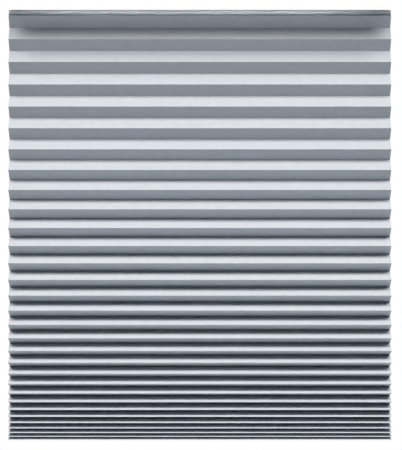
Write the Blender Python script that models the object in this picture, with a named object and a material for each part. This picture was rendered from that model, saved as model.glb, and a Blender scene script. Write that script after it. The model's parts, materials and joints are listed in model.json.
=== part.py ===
"""A stick-up pleated window shade, hanging open.

One sheet of cloth is folded like an accordion and hangs from an adhesive tape. The weight of the cloth below
pulls the upper pleats wide open, while the lowest pleats stay almost shut. Every panel between two creases is
its own solid, and its object's origin lies on the crease that it turns about.

Metres, +Z up, the window side towards +Y. The origin is the middle of the tape's upper face.
"""

import math

import bmesh
import bpy
from mathutils import Vector

# The cloth
WIDTH = 0.900
PANEL_DEPTH = 0.0310  # from one crease to the next
CLOTH_THICKNESS = 0.0004
PANELS_BELOW_TOP = 61
PANELS_IN_BOTTOM = 4  # the lowest panels, one solid

# Folding: the air between two panels that lie shut, and how far a panel ends before its crease
SHUT_GAP = 0.0003
CREASE_CLEARANCE = 0.0003

# How the creases give under the weight of the cloth below them. Torque is in panel weights times PANEL_DEPTH.
CREASE_TORQUE_MAX = 19.7
CREASE_GIVE = 0.613  # radians of opening over which the torque builds up
CREASE_SET = 0.082  # radians, a crease's slope with no load
CREASE_SOFTENING = 0.228  # how fast a crease that is pulled wide open loses torque again

# The tape, and the top panel that hangs from it
TAPE_WIDTH = 0.012
TAPE_THICKNESS = 0.0006
TAPE_SIDE_MARGIN = 0.003
TAPE_GAP = 0.0003
TOP_BEND_RADIUS = 0.0070
TOP_BEND_STEPS = 8

# Each material's colour and roughness
CLOTH_LOOK = ((0.80, 0.82, 0.84, 1.0), 0.85)
TAPE_LOOK = ((0.86, 0.86, 0.80, 1.0), 0.35)

HINGE_OFFSET = (CLOTH_THICKNESS + SHUT_GAP) / 2  # from a panel's middle surface to the crease's axis
SHUT_SLOPE = math.asin(2 * HINGE_OFFSET / PANEL_DEPTH)  # slope of the line between a shut panel's two axes
PANEL_RUN = PANEL_DEPTH * math.cos(SHUT_SLOPE)  # the same distance along the panel
MOVING_PANELS = PANELS_BELOW_TOP - PANELS_IN_BOTTOM


def crease_torque(slope):
    opening = slope - CREASE_SET
    return CREASE_TORQUE_MAX * math.tanh(opening / CREASE_GIVE) * (1 - CREASE_SOFTENING * opening**3)


def hanging_slope(panels_below):
    """The slope at which a panel's creases carry the weight of this many panels."""
    low, high = CREASE_SET, math.pi / 2
    for _ in range(60):
        slope = (low + high) / 2
        if crease_torque(slope) > panels_below * math.cos(slope) / 2:
            high = slope
        else:
            low = slope
    return slope


def slopes():
    """The slopes of the lines between the panels' two crease axes, from the top down, without the top panel."""
    return [hanging_slope(PANELS_BELOW_TOP - n - 0.5) for n in range(PANELS_BELOW_TOP)]


def top_panel_middle():
    """The top panel's middle line as (y, z): flat under the tape, round the bend, then straight down the
    slope of the panel below, to the front."""
    slope = hanging_slope(PANELS_BELOW_TOP)
    z = -TAPE_THICKNESS - TAPE_GAP - CLOTH_THICKNESS / 2
    line = [Vector((TAPE_WIDTH / 2, z)), Vector((-TAPE_WIDTH / 2, z))]
    centre = line[1] + Vector((0, -TOP_BEND_RADIUS))
    for step in range(1, TOP_BEND_STEPS + 1):
        turn = slope * step / TOP_BEND_STEPS
        line.append(centre + TOP_BEND_RADIUS * Vector((-math.sin(turn), math.cos(turn))))
    straight = PANEL_DEPTH - TAPE_WIDTH - TOP_BEND_RADIUS * slope
    line.append(line[-1] + straight * Vector((-math.cos(slope), -math.sin(slope))))
    return line


def crease_axes():
    """(y, z) of every crease's axis, from the top panel's front edge down. The last one is the free edge."""
    middle = top_panel_middle()
    along = (middle[-1] - middle[-2]).normalized()
    under = Vector((-along.y, along.x))
    axes = [middle[-1] + HINGE_OFFSET * under]
    for number, slope in enumerate(slopes(), start=1):
        back = 1 if number % 2 else -1
        axes.append(axes[-1] + PANEL_DEPTH * Vector((back * math.cos(slope), -math.sin(slope))))
    return axes


def material(name, colour, roughness):
    made = bpy.data.materials.new(name)
    made.use_nodes = True
    shader = made.node_tree.nodes["Principled BSDF"]
    shader.inputs["Base Color"].default_value = colour
    shader.inputs["Roughness"].default_value = roughness
    shader.inputs["Metallic"].default_value = 0.0
    return made


def extruded(name, outline, width):
    """A mesh: the closed (y, z) outline, extruded along X and centred on it."""
    shape = bmesh.new()
    ring = [shape.verts.new((-width / 2, y, z)) for y, z in outline]
    face = shape.faces.new(ring)
    side = bmesh.ops.extrude_face_region(shape, geom=[face])["geom"]
    moved = [v for v in side if isinstance(v, bmesh.types.BMVert)]
    bmesh.ops.translate(shape, verts=moved, vec=(width, 0, 0))
    bmesh.ops.recalc_face_normals(shape, faces=shape.faces)
    mesh = bpy.data.meshes.new(name)
    shape.to_mesh(mesh)
    shape.free()
    return mesh


def strip(middle, thickness):
    """The outline of a strip of this thickness along a line of (y, z) points, mitred at its corners."""
    upper, lower = [], []
    for n, point in enumerate(middle):
        before = (point - middle[n - 1]).normalized() if n else None
        after = (middle[n + 1] - point).normalized() if n + 1 < len(middle) else None
        along = (before or after) + (after or before)
        along.normalize()
        across = Vector((-along.y, along.x))
        run = after or before
        half = thickness / 2 / across.dot(Vector((-run.y, run.x)))
        upper.append(point + half * across)
        lower.append(point - half * across)
    return upper + lower[::-1]


def panel_middle(back):
    """A panel's middle line, with the origin at its upper crease's axis. Back is +1 for a panel that runs
    down to the window side, and -1 for one that runs down to the room side."""
    start, end = CREASE_CLEARANCE, PANEL_RUN - CREASE_CLEARANCE
    return [Vector((back * start, -HINGE_OFFSET)), Vector((back * end, -HINGE_OFFSET))]


def place(name, mesh, at, tilt, look):
    """An object with its origin at this (y, z), turned about X by tilt."""
    mesh.materials.append(material(name + "_material", *look))
    made = bpy.data.objects.new(name, mesh)
    made.location = (0, *at)
    made.rotation_euler.x = tilt
    bpy.context.scene.collection.objects.link(made)
    return made


def make_tape():
    half = TAPE_WIDTH / 2
    outline = [(-half, 0), (-half, -TAPE_THICKNESS), (half, -TAPE_THICKNESS), (half, 0)]
    mesh = extruded("adhesive_tape", outline, WIDTH - 2 * TAPE_SIDE_MARGIN)
    place("adhesive_tape", mesh, (0, 0), 0, TAPE_LOOK)


def make_top_panel():
    middle = top_panel_middle()
    last = (middle[-1] - middle[-2]).normalized()
    middle[-1] = middle[-1] - CREASE_CLEARANCE * last
    mesh = extruded("top_panel", strip(middle, CLOTH_THICKNESS), WIDTH)
    place("top_panel", mesh, (0, 0), 0, CLOTH_LOOK)


def make_moving_panels():
    axes = crease_axes()
    for number in range(1, MOVING_PANELS + 1):
        back = 1 if number % 2 else -1
        name = f"panel_{number:02d}"
        mesh = extruded(name, strip(panel_middle(back), CLOTH_THICKNESS), WIDTH)
        tilt = -back * (slopes()[number - 1] - SHUT_SLOPE)
        place(name, mesh, axes[number - 1], tilt, CLOTH_LOOK)


def make_bottom_pleats():
    """The lowest panels, one zigzag strip. It begins below its upper crease's axis, as other panels do."""
    axes = crease_axes()[MOVING_PANELS:]
    middle = [point - axes[0] + Vector((0, -HINGE_OFFSET)) for point in axes]
    middle[0] = middle[0] + CREASE_CLEARANCE * (middle[1] - middle[0]).normalized()
    mesh = extruded("bottom_pleats", strip(middle, CLOTH_THICKNESS), WIDTH)
    place("bottom_pleats", mesh, axes[0], 0, CLOTH_LOOK)


def main():
    for old in list(bpy.data.objects):
        bpy.data.objects.remove(old)
    make_tape()
    make_top_panel()
    make_moving_panels()
    make_bottom_pleats()


main()
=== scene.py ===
"""The looks of a stick-up pleated window shade: one long sheet of thin non-woven cloth, folded like an
accordion, that hangs from a strip of foam tape.

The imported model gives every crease's axis. The sheet's middle line runs round those axes, and is cut
halfway down each panel, so that one piece of cloth holds one crease and bends about it. Everything is in
metres, +Z up, with the room side towards -Y.
"""

import json
import math

import bpy
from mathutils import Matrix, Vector

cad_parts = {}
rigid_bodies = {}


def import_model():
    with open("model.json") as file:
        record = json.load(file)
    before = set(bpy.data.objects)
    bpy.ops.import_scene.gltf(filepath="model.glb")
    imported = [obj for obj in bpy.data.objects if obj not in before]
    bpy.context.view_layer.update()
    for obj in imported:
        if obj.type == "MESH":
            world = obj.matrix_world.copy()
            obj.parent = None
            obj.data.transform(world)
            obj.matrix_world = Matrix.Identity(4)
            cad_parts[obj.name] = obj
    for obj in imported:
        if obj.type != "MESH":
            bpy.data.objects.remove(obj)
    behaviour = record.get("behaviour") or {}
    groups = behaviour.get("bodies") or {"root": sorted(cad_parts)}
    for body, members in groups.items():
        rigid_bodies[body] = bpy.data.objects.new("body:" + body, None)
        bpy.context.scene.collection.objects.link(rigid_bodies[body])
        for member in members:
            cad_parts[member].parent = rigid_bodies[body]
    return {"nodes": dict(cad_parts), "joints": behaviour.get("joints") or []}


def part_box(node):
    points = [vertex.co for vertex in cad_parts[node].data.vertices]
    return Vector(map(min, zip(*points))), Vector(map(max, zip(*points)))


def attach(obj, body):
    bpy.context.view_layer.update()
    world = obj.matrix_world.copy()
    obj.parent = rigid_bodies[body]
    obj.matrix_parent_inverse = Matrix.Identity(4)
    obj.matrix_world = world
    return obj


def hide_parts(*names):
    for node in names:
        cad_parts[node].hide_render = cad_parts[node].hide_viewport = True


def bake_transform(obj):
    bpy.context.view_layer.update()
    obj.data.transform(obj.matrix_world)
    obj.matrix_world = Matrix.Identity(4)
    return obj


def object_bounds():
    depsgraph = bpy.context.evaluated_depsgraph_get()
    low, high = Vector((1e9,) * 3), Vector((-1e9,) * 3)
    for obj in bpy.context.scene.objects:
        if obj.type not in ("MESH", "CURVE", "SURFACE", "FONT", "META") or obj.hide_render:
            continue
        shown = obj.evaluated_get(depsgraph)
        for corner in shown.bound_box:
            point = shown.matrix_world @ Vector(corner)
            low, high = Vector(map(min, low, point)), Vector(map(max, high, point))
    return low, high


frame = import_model()
CAD_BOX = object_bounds()
WIDTH = CAD_BOX[1][0] - CAD_BOX[0][0]

# The cloth's shape
CLOTH_THICKNESS = 0.0004
HINGE_OFFSET = 0.00035  # from a crease's axis to the middle of the cloth
TOP_BEND_RADIUS = 0.0070
COLUMNS = 90  # across the width
ROWS_FROM_CREASE = (0.0, 0.02, 0.06, 0.14, 0.30, 0.62, 1.0)  # 1 is the middle of the panel
FOLD_STEPS = 6
BEND_STEPS = 8
SHARP_ANGLE = math.radians(50)
PRESSED = 0.0010  # how far from a crease the cloth is pressed smooth
UNPRESSED = 0.0100  # far enough from a crease that no pressing shows
SWELL = 0.0003  # about the most that a panel swells between its creases
SWELL_MEAN = 0.35  # the even share of SWELL
SWELL_RIPPLE = 0.25  # the first ripple's share of it
SWELL_WAVES = (1.5, 2.7, 4.3, 7.1, 11.9)  # ripples across the width
WAVE_PHASE = 1.7  # radians from each ripple to the next
WAVE_FADE = 0.5  # ripple n is divided by 1 + n times this
PANEL_PHASE = 0.11  # radians that a ripple moves from one panel to the next

# The cloth's look. A tone is a pair of factors on the colour, a relief is the height of the bumps, and a
# noise's scale is for places in metres.
CLOTH_COLOUR = (0.565, 0.620, 0.688)
CLOTH_ROUGHNESS = 0.92
CLOTH_SPECULAR = 0.3
CLOTH_SHEEN = 0.15
CLOTH_SHEEN_ROUGHNESS = 0.5
CLOUD_SCALE = 55.0
CLOUD_DETAIL = 3.0
CLOUD_TONE = (0.965, 1.02)
CLOUD_RELIEF = 0.0004
CLOUD_STRENGTH = 0.5
FIBRE_LONG = 260  # noise scale along the fibres
FIBRE_FINE = 2600  # and across them
FIBRE_TURNS = (0.5, 0.4)  # radians, from the two directions of the sheet
FIBRE_TONE = (0.96, 1.03)
FIBRE_RELIEF = 0.0001
# painted highlight: the cloth's colour is lighter along every crease by this factor
CREASE_HIGHLIGHT_TONE = 1.03
CREASE_ROUGHNESS = 0.75
CREASE_FIBRES = 0.3  # share of the fibres' relief that is left at a crease
NOISE_SPAN = (0.3, 0.7)  # most values of a noise
NOISE_SUM_SPAN = (0.7, 1.3)  # most values of two noises added

# The tape
TAPE_STEPS = 120
TAPE_BEVEL = 0.00015
TAPE_INSET = 0.0004  # of its front and back edge from the CAD tape's
TAPE_WANDER = 0.00035  # the most that those edges wander
TAPE_WAVES = ((23, 1), (61, 0))  # radians for each metre along the tape, and the phase
TAPE_COLOUR = (0.86, 0.86, 0.80)
TAPE_ROUGHNESS = (0.3, 0.5)
TAPE_PATCH_SCALE = 40.0
TAPE_TONE = (0.94, 1.03)
TAPE_BUBBLE_SCALE = 900.0
TAPE_RELIEF = 0.0002
TAPE_STRENGTH = 0.4

# The camera is level, in front of the shade and nearer its top
CAMERA_DISTANCE = 3.047  # to the front creases
CAMERA_HEIGHT = -0.3286
CAMERA_SIDE = 0.0028
LENS = 104.0
SHIFT_UP = -0.1689

# The floor
FLOOR_HEIGHT = -1.45
FLOOR_RADIUS = 1.5
FLOOR_STEPS = 96
FLOOR_COLOUR = (0.62, 0.66, 0.70)
FLOOR_ROUGHNESS = 0.8
FLOOR_PATCH_SCALE = 3.0
FLOOR_TONE = (0.98, 1.0)

# The two key lights, the fill light and the light behind the shade
KEY_ELEVATION = math.radians(61)  # as seen from the side of the shade
KEY_SIDE = 0.5  # how far to the side a key stands, for each metre of distance in that side view
KEY_DISTANCE = 9.0
KEY_SIZE = (2.4, 3.8)
KEY_POWER = 738.0  # of each
KEY_COLOUR = (1.0, 0.945, 0.895)
FILL_ELEVATION = math.radians(-40)
FILL_DISTANCE = 3.0
FILL_SIZE = (2.0, 1.0)
FILL_POWER = 44.0
FILL_COLOUR = (0.93, 0.97, 1.0)
BACK_ELEVATION = math.radians(35)
BACK_DISTANCE = 4.0
BACK_SIZE = (3.0, 2.0)
BACK_POWER = 150.0
AMBIENT = 0.02  # strength of the white background as a light

# A board above the shade, which shadows its top, and narrow strips of light under the board, close to the
# top panel
BOARD_HEIGHT = 0.05
SHADOW_HEIGHT = -0.104  # where the board's soft shadow is half as deep
BOARD_OVERHANG = 0.03  # at each end of the shade
STRIP_ELEVATION = math.radians(40)
STRIP_DISTANCE = 0.035
STRIP_LENGTHS = (0.62, 0.69, 0.76, 0.83, 0.90)  # so that the light fades towards both ends
STRIP_WIDTH = 0.006
STRIP_GAP = 0.001  # from each strip to the next, because lights in one plane hide each other
STRIP_SIDE = -0.012  # a little to the left
STRIP_SPREAD = math.radians(35)
STRIP_AIM = 0.35  # where the strips point, as a share of the way down from the top to the first crease
STRIP_POWER = 0.029  # for each metre


# ---- the sheet's middle line, as (y, z) points ----


def hinges():
    """The joints, from the top crease down."""
    return sorted(frame["joints"], key=lambda joint: joint["name"])


def crease_axes():
    """Each crease's axis as (y, z), from the top down: the joints', then the lowest pleats' own creases.
    The last one is the free edge."""
    return [Vector(joint["pos_m"][1:]) for joint in hinges()] + lowest_creases()


def lowest_creases():
    """The creases inside the solid of the lowest pleats. Each corner of its zigzag is a pair of points, one
    on each face of the cloth, and its axis lies above their middle."""
    mesh = frame["nodes"]["bottom_pleats"].data
    points = {(round(v.co.y, 5), round(v.co.z, 5)) for v in mesh.vertices}  # the same at both ends
    middle = sum(y for y, _ in points) / len(points)
    corners = []
    for side in (-1, 1):
        here = sorted((z, y) for y, z in points if (y - middle) * side > 0)
        for a, b in zip(here[0::2], here[1::2]):
            corners.append(Vector(((a[1] + b[1]) / 2, (a[0] + b[0]) / 2 + HINGE_OFFSET)))
    corners.sort(key=lambda corner: -corner.y)
    return corners[1:]


def upper_side(along):
    """The unit vector square to a panel's direction, on its upper side."""
    square = Vector((-along.y, along.x))
    return square if square.y > 0 else -square


def panel_direction(start, end):
    """The direction of the panel between two crease axes. The panel passes below the first axis and above
    the second one, so it lies a little flatter than the line between them."""
    line = end - start
    back = 1 if line.x > 0 else -1
    slope = math.atan2(-line.y, abs(line.x)) - math.asin(2 * HINGE_OFFSET / line.length)
    return Vector((back * math.cos(slope), -math.sin(slope)))


def fold(axis, above, below):
    """The cloth's turn round a crease: an arc about its axis, from the panel above to the panel below. It
    runs round the outside, so a front crease turns one way and a back crease the other."""
    start = upper_side(above)
    end = -upper_side(below)
    first = math.atan2(start.y, start.x)
    turn = (math.atan2(end.y, end.x) - first + math.pi) % (2 * math.pi) - math.pi
    if above.x < 0 and turn < 0:
        turn += 2 * math.pi
    if above.x > 0 and turn > 0:
        turn -= 2 * math.pi
    angles = [first + turn * step / FOLD_STEPS for step in range(FOLD_STEPS + 1)]
    return [axis + HINGE_OFFSET * Vector((math.cos(angle), math.sin(angle))) for angle in angles]


def top_panel(axis):
    """The top panel's middle line, flat under the tape and round the bend, and the direction of its
    straight part, which passes above the first crease's axis."""
    low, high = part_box("adhesive_tape")
    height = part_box("top_panel")[1][2] - CLOTH_THICKNESS / 2
    centre = Vector((low[1], height - TOP_BEND_RADIUS))
    away = axis - centre
    slope = math.acos((TOP_BEND_RADIUS - HINGE_OFFSET) / away.length) - math.atan2(away.x, away.y)
    slope %= 2 * math.pi
    line = []
    for step in range(BEND_STEPS):
        line.append(Vector((high[1] + (low[1] - high[1]) * step / BEND_STEPS, height)))
    for step in range(BEND_STEPS + 1):
        turn = slope * step / BEND_STEPS
        line.append(centre + TOP_BEND_RADIUS * Vector((-math.sin(turn), math.cos(turn))))
    return line, Vector((-math.cos(slope), -math.sin(slope)))


# ---- the cloth ----


def swell(x, place, panel):
    """How far the cloth stands above a panel's plane. Place runs from 0 at one crease to 1 at the other.
    Every panel swells almost as its neighbours do, so that they nest when they are folded shut."""
    ripple = 0.0
    for number, waves in enumerate(SWELL_WAVES):
        phase = WAVE_PHASE * number + PANEL_PHASE * panel * (1 if number % 2 else -1)
        ripple += math.sin(2 * math.pi * waves * x / WIDTH + phase) / (1.0 + WAVE_FADE * number)
    return SWELL * math.sin(math.pi * place) ** 2 * (SWELL_MEAN + SWELL_RIPPLE * ripple)


class Row:
    """One line of points across the cloth: its (y, z), its panel's number, its place between that panel's
    creases, and its distance from the nearest crease."""

    def __init__(self, point, panel=0, place=0.0, from_crease=0.0):
        self.point = point
        self.panel = panel
        self.place = place
        self.from_crease = from_crease


def half_panel(crease_end, middle, panel, back_end):
    """The rows from a crease to the middle of a panel. Place is 0 at the front crease and 1 at the back
    one."""
    rows = []
    for share in ROWS_FROM_CREASE:
        place = 1 - share / 2 if back_end else share / 2
        point = crease_end.lerp(middle, share)
        rows.append(Row(point, panel, place, (point - crease_end).length))
    return rows


def lengths_down(rows, start_length):
    """Each row's place along the whole sheet, in metres from its upper edge."""
    lengths = [start_length]
    for above, below in zip(rows, rows[1:]):
        lengths.append(lengths[-1] + (below.point - above.point).length)
    return lengths


def cloth_points(rows):
    """All points of a piece of cloth, first those on one side of it, then those on the other side."""
    lines = []
    for number, row in enumerate(rows):
        before = after = Vector((0, 0))
        if number:
            before = (row.point - rows[number - 1].point).normalized()
        if number + 1 < len(rows):
            after = (rows[number + 1].point - row.point).normalized()
        along = (before + after).normalized()
        lines.append((row, along, Vector((-along.y, along.x)) * CLOTH_THICKNESS / 2))
    points = []
    for side in (1, -1):
        for row, along, half in lines:
            for column in range(COLUMNS + 1):
                x = WIDTH * (column / COLUMNS - 0.5)
                at = row.point + side * half + swell(x, row.place, row.panel) * upper_side(along)
                points.append((x, at.x, at.y))
    return points


def cloth_faces(row_count):
    """The faces between the points that cloth_points gives: both sides, and the rims that close them."""
    across = COLUMNS + 1
    other = row_count * across  # from a point to the one on the other side
    faces = []
    for r in range(row_count - 1):
        for c in range(COLUMNS):
            a, b = r * across + c, (r + 1) * across + c
            faces.append((a, a + 1, b + 1, b))
            faces.append((other + b, other + b + 1, other + a + 1, other + a))
        for c in (0, COLUMNS):
            a, b = r * across + c, (r + 1) * across + c
            rim = (a, b, other + b, other + a)
            faces.append(rim if c == 0 else rim[::-1])
    for r in (0, row_count - 1):
        for c in range(COLUMNS):
            a = r * across + c
            rim = (a, other + a, other + a + 1, a + 1)
            faces.append(rim if r == 0 else rim[::-1])
    return faces


def cloth(name, rows, start_length, material):
    """A thin closed piece of cloth across the whole width, and where it ends on the whole sheet. Its UV map
    is its place on that sheet; its crease attribute says how hard it is pressed and sets a painted
    highlight."""
    points = cloth_points(rows)
    lengths = lengths_down(rows, start_length)
    pressing_and_highlight = [math.exp(-row.from_crease / PRESSED) for row in rows]
    row_of = [number // (COLUMNS + 1) % len(rows) for number in range(len(points))]
    mesh = bpy.data.meshes.new(name)
    mesh.from_pydata(points, [], cloth_faces(len(rows)))
    sheet_uv = mesh.uv_layers.new(name="sheet")
    for loop in mesh.loops:
        vertex = loop.vertex_index
        sheet_uv.data[loop.index].uv = (points[vertex][0] + WIDTH / 2, lengths[row_of[vertex]])
    crease = mesh.attributes.new("crease", "FLOAT", "POINT")
    crease.data.foreach_set("value", [pressing_and_highlight[row] for row in row_of])
    mesh.shade_smooth()
    mesh.set_sharp_from_angle(angle=SHARP_ANGLE)
    mesh.materials.append(material)
    made = bpy.data.objects.new(name, mesh)
    bpy.context.scene.collection.objects.link(made)
    return made, lengths[-1]


def whole_sheet(material):
    """All pieces of the sheet. The top piece and the lowest pleats are attached to their bodies; the pieces
    round the joints' creases are attached to none.
    """
    axes = crease_axes()
    joints = hinges()
    bend, top_down = top_panel(axes[0])
    directions = [top_down] + [panel_direction(a, b) for a, b in zip(axes, axes[1:])]
    last = len(axes) - 1
    starts = [bend[-1]] + [a - HINGE_OFFSET * upper_side(d) for a, d in zip(axes, directions[1:])]
    ends = [a + HINGE_OFFSET * upper_side(d) for a, d in zip(axes, directions)]
    middles = [(a + b) / 2 for a, b in zip(starts, ends)]

    def around(crease):
        """The rows from the middle of the panel above a crease to the middle of the panel below it."""
        back = directions[crease].x > 0
        above = half_panel(ends[crease], middles[crease], crease, back)[::-1]
        turn = [Row(point) for point in fold(axes[crease], directions[crease], directions[crease + 1])]
        below = half_panel(starts[crease + 1], middles[crease + 1], crease + 1, back)
        return above[:-1] + turn + below[1:]

    top_rows = [Row(point, from_crease=UNPRESSED) for point in bend + [middles[0]]]
    piece, length = cloth("cloth_top", top_rows, 0.0, material)
    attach(piece, "top")
    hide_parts("top_panel")
    for number, joint in enumerate(joints):
        before = length
        piece, length = cloth(f"cloth_{joint['name']}", around(number), before, material)
        above, below = joint["parent"], joint["child"]
        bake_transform(piece)
        if below != "bottom_pleats":
            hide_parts(below)
    rows = []
    for crease in range(len(joints), last):
        rows += around(crease)[:-1]  # its last row is the next one's first
    rows += half_panel(ends[last], middles[last], last, directions[last].x > 0)[::-1]
    before = length
    piece, length = cloth("cloth_bottom", rows, before, material)
    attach(piece, "bottom_pleats")
    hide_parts("bottom_pleats")
    print(f"the sheet is {length:.3f} m long")


# ---- the tape ----


def tape_ring(x, low, high):
    """The tape's outline at x: an oblong with bevelled corners, between two corners of a box."""
    wander = TAPE_WANDER * sum(math.sin(rate * x + phase) for rate, phase in TAPE_WAVES) / 2
    y0, y1 = low[1] + TAPE_INSET + wander, high[1] - TAPE_INSET + wander
    z0, z1 = low[2], high[2]
    ring = [(y0 + TAPE_BEVEL, z0), (y1 - TAPE_BEVEL, z0), (y1, z0 + TAPE_BEVEL), (y1, z1 - TAPE_BEVEL)]
    ring += [(y1 - TAPE_BEVEL, z1), (y0 + TAPE_BEVEL, z1), (y0, z1 - TAPE_BEVEL), (y0, z0 + TAPE_BEVEL)]
    return [(x, y, z) for y, z in ring]


def tape():
    """The strip of foam tape, a little uneven along its edges."""
    low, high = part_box("adhesive_tape")
    points, faces = [], []
    for step in range(TAPE_STEPS + 1):
        ring = tape_ring(low[0] + (high[0] - low[0]) * step / TAPE_STEPS, low, high)
        points += ring
    sides = len(ring)
    for step in range(TAPE_STEPS):
        for side in range(sides):
            a, b = step * sides + side, step * sides + (side + 1) % sides
            faces.append((a, b, b + sides, a + sides))
    faces.append(tuple(range(sides))[::-1])
    faces.append(tuple(TAPE_STEPS * sides + side for side in range(sides)))
    mesh = bpy.data.meshes.new("tape")
    mesh.from_pydata(points, [], faces)
    mesh.materials.append(tape_material())
    made = bpy.data.objects.new("tape", mesh)
    bpy.context.scene.collection.objects.link(made)
    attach(made, "top")
    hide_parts("adhesive_tape")


# ---- materials ----


class Nodes:
    """A material's node tree, built by name."""

    def __init__(self, name):
        self.material = bpy.data.materials.new(name)
        self.material.use_nodes = True
        self.tree = self.material.node_tree
        self.shader = self.tree.nodes["Principled BSDF"]

    def add(self, kind, inputs=None, **settings):
        node = self.tree.nodes.new("ShaderNode" + kind)
        for key, value in settings.items():
            setattr(node, key, value)
        for key, value in (inputs or {}).items():
            self.set(node.inputs[key], value)
        return node

    def set(self, socket, value):
        if isinstance(value, bpy.types.NodeSocket):
            self.tree.links.new(value, socket)
        else:
            socket.default_value = value

    def noise(self, vector, scale, detail=2.0):
        inputs = {"Vector": vector, "Scale": scale, "Detail": detail}
        return self.add("TexNoise", inputs).outputs["Fac"]

    def stretched_noise(self, vector, scale, turn):
        inputs = {"Vector": vector, "Scale": scale, "Rotation": (0, 0, turn)}
        return self.noise(self.add("Mapping", inputs).outputs["Vector"], 1.0)

    def remap(self, value, to, span=(0.0, 1.0)):
        inputs = {"Value": value, "From Min": span[0], "From Max": span[1]}
        inputs |= {"To Min": to[0], "To Max": to[1]}
        return self.add("MapRange", inputs).outputs["Result"]

    def combine(self, operation, a, b):
        node = self.add("Math", operation=operation)
        self.set(node.inputs[0], a)
        self.set(node.inputs[1], b)
        return node.outputs[0]

    def scaled_colour(self, colour, factor):
        node = self.add("VectorMath", operation="SCALE")
        node.inputs[0].default_value = colour
        self.set(node.inputs["Scale"], factor)
        return node.outputs[0]

    def bump(self, height, distance, strength=1.0, under=None):
        inputs = {"Height": height, "Distance": distance, "Strength": strength}
        if under is not None:
            inputs["Normal"] = under
        return self.add("Bump", inputs).outputs["Normal"]


def cloth_material():
    """Thin spunbonded cloth: matt, a little cloudy, with fine crossed fibres that are pressed flat at the
    creases, where a painted highlight also makes its colour lighter."""
    made = Nodes("nonwoven_cloth")
    place = made.add("UVMap", uv_map="sheet").outputs["UV"]
    clouds = made.noise(place, CLOUD_SCALE, CLOUD_DETAIL)
    fibres_across = made.stretched_noise(place, (FIBRE_LONG, FIBRE_FINE, 1), FIBRE_TURNS[0])
    fibres_along = made.stretched_noise(place, (FIBRE_FINE, FIBRE_LONG, 1), FIBRE_TURNS[1])
    fibres = made.combine("ADD", fibres_across, fibres_along)
    crease = made.add("Attribute", attribute_name="crease").outputs["Fac"]
    cloud_tone = made.remap(clouds, CLOUD_TONE, NOISE_SPAN)
    tone = made.combine("MULTIPLY", cloud_tone, made.remap(fibres, FIBRE_TONE, NOISE_SUM_SPAN))
    # painted highlight: the colour is lighter where the crease attribute is high
    tone = made.combine("MULTIPLY", tone, made.remap(crease, (1.0, CREASE_HIGHLIGHT_TONE)))
    made.set(made.shader.inputs["Base Color"], made.scaled_colour(CLOTH_COLOUR, tone))
    made.set(made.shader.inputs["Roughness"], made.remap(crease, (CLOTH_ROUGHNESS, CREASE_ROUGHNESS)))
    made.shader.inputs["Sheen Weight"].default_value = CLOTH_SHEEN
    made.shader.inputs["Sheen Roughness"].default_value = CLOTH_SHEEN_ROUGHNESS
    made.shader.inputs["Specular IOR Level"].default_value = CLOTH_SPECULAR
    soft = made.bump(clouds, CLOUD_RELIEF, CLOUD_STRENGTH)
    rough = made.combine("MULTIPLY", fibres, made.remap(crease, (1.0, CREASE_FIBRES)))
    made.set(made.shader.inputs["Normal"], made.bump(rough, FIBRE_RELIEF, under=soft))
    return made.material


def tape_material():
    """Off-white foam tape, slightly shiny on its film, with fine bubbles."""
    made = Nodes("foam_tape")
    place = made.add("TexCoord").outputs["Object"]
    bubbles = made.noise(place, TAPE_BUBBLE_SCALE)
    tone = made.remap(made.noise(place, TAPE_PATCH_SCALE), TAPE_TONE, NOISE_SPAN)
    made.set(made.shader.inputs["Base Color"], made.scaled_colour(TAPE_COLOUR, tone))
    made.set(made.shader.inputs["Roughness"], made.remap(bubbles, TAPE_ROUGHNESS))
    made.set(made.shader.inputs["Normal"], made.bump(bubbles, TAPE_RELIEF, TAPE_STRENGTH))
    return made.material


def floor_material():
    """Pale and matt, with a faint unevenness."""
    made = Nodes("pale_floor")
    place = made.add("TexCoord").outputs["Object"]
    tone = made.remap(made.noise(place, FLOOR_PATCH_SCALE), FLOOR_TONE, NOISE_SPAN)
    made.set(made.shader.inputs["Base Color"], made.scaled_colour(FLOOR_COLOUR, tone))
    made.shader.inputs["Roughness"].default_value = FLOOR_ROUGHNESS
    return made.material


# ---- the studio ----


def floor():
    """A round floor, far enough below the shade to stay out of the camera's view."""
    mesh = bpy.data.meshes.new("floor")
    ring = [2 * math.pi * step / FLOOR_STEPS for step in range(FLOOR_STEPS)]
    rim = [(FLOOR_RADIUS * math.cos(a), FLOOR_RADIUS * math.sin(a), FLOOR_HEIGHT) for a in ring]
    mesh.from_pydata(rim, [], [tuple(range(FLOOR_STEPS))])
    mesh.materials.append(floor_material())
    disc = bpy.data.objects.new("floor", mesh)
    bpy.context.scene.collection.objects.link(disc)


def shading_board():
    """A board out of view above the shade. Its soft shadow falls on the first pleats."""
    tape_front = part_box("adhesive_tape")[0][1]
    front = tape_front - (BOARD_HEIGHT - SHADOW_HEIGHT) / math.tan(KEY_ELEVATION)
    side = WIDTH / 2 + BOARD_OVERHANG
    mesh = bpy.data.meshes.new("shading_board")
    corners = [(-side, front), (side, front), (side, 0), (-side, 0)]
    mesh.from_pydata([(x, y, BOARD_HEIGHT) for x, y in corners], [], [(0, 1, 2, 3)])
    board = bpy.data.objects.new("shading_board", mesh)
    board.visible_camera = False
    bpy.context.scene.collection.objects.link(board)


def area_light(name, at, target, size, power, colour):
    """An oblong light that points at the target and isn't seen itself."""
    light = bpy.data.lights.new(name, "AREA")
    light.shape = "RECTANGLE"
    light.size, light.size_y = size
    light.energy = power
    light.color = colour
    made = bpy.data.objects.new(name, light)
    made.location = at
    made.rotation_euler = (Vector(target) - Vector(at)).to_track_quat("-Z", "Y").to_euler()
    made.visible_camera = False
    bpy.context.scene.collection.objects.link(made)
    return light


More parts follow.
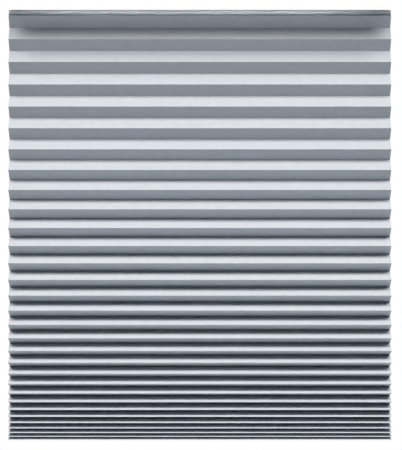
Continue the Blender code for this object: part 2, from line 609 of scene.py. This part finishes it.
def key_lights(target):
    """Two keys, high in front, left and right, so that both ends of the pleats' shadows are slanted."""
    for name, side in (("key_left", -KEY_SIDE), ("key_right", KEY_SIDE)):
        way = Vector((side, -math.cos(KEY_ELEVATION), math.sin(KEY_ELEVATION)))
        area_light(name, target + KEY_DISTANCE * way, target, KEY_SIZE, KEY_POWER, KEY_COLOUR)


def fill_light(target):
    """A light low in front, which reaches under the pleats."""
    way = Vector((0, -math.cos(FILL_ELEVATION), math.sin(FILL_ELEVATION)))
    area_light("fill", target + FILL_DISTANCE * way, target, FILL_SIZE, FILL_POWER, FILL_COLOUR)


def back_light(target):
    """A light behind the shade, for its back."""
    way = Vector((0, math.cos(BACK_ELEVATION), math.sin(BACK_ELEVATION)))
    area_light("back", target + BACK_DISTANCE * way, target, BACK_SIZE, BACK_POWER, KEY_COLOUR)


def strip_lights():
    """Narrow lights on the bend at the top of the shade."""
    crease = crease_axes()[0]
    bend = Vector((STRIP_SIDE, crease.x, crease.y * STRIP_AIM))
    way = Vector((0, -math.cos(STRIP_ELEVATION), math.sin(STRIP_ELEVATION)))
    for number, length in enumerate(STRIP_LENGTHS):
        at = bend + (STRIP_DISTANCE + number * STRIP_GAP) * way
        power = STRIP_POWER * length / len(STRIP_LENGTHS)
        strip = area_light(f"strip_{number}", at, bend, (length, STRIP_WIDTH), power, KEY_COLOUR)
        strip.spread = STRIP_SPREAD


def lights():
    middle = Vector((0, 0, (CAD_BOX[0][2] + CAD_BOX[1][2]) / 2))
    key_lights(middle)
    fill_light(middle)
    back_light(middle)
    strip_lights()


def world():
    """White behind the shade, with little light of its own."""
    made = bpy.data.worlds.new("studio")
    made.use_nodes = True
    nodes, links = made.node_tree.nodes, made.node_tree.links
    background = nodes["Background"]
    background.inputs["Color"].default_value = (1, 1, 1, 1)
    path = nodes.new("ShaderNodeLightPath")
    strength = nodes.new("ShaderNodeMapRange")
    strength.inputs["To Min"].default_value = AMBIENT
    strength.inputs["To Max"].default_value = 1.0
    links.new(path.outputs["Is Camera Ray"], strength.inputs["Value"])
    links.new(strength.outputs["Result"], background.inputs["Strength"])
    bpy.context.scene.world = made


def camera():
    """A level camera. The shift frames the whole shade without a tilt."""
    lens = bpy.data.cameras.new("camera")
    lens.lens = LENS
    lens.shift_y = SHIFT_UP
    made = bpy.data.objects.new("camera", lens)
    made.location = (CAMERA_SIDE, CAD_BOX[0][1] - CAMERA_DISTANCE, CAMERA_HEIGHT)
    made.rotation_euler = (math.radians(90), 0, 0)
    bpy.context.scene.collection.objects.link(made)
    bpy.context.scene.camera = made


camera()
world()
lights()
floor()
shading_board()
tape()
whole_sheet(cloth_material())
bpy.context.scene.view_settings.view_transform = "Standard"
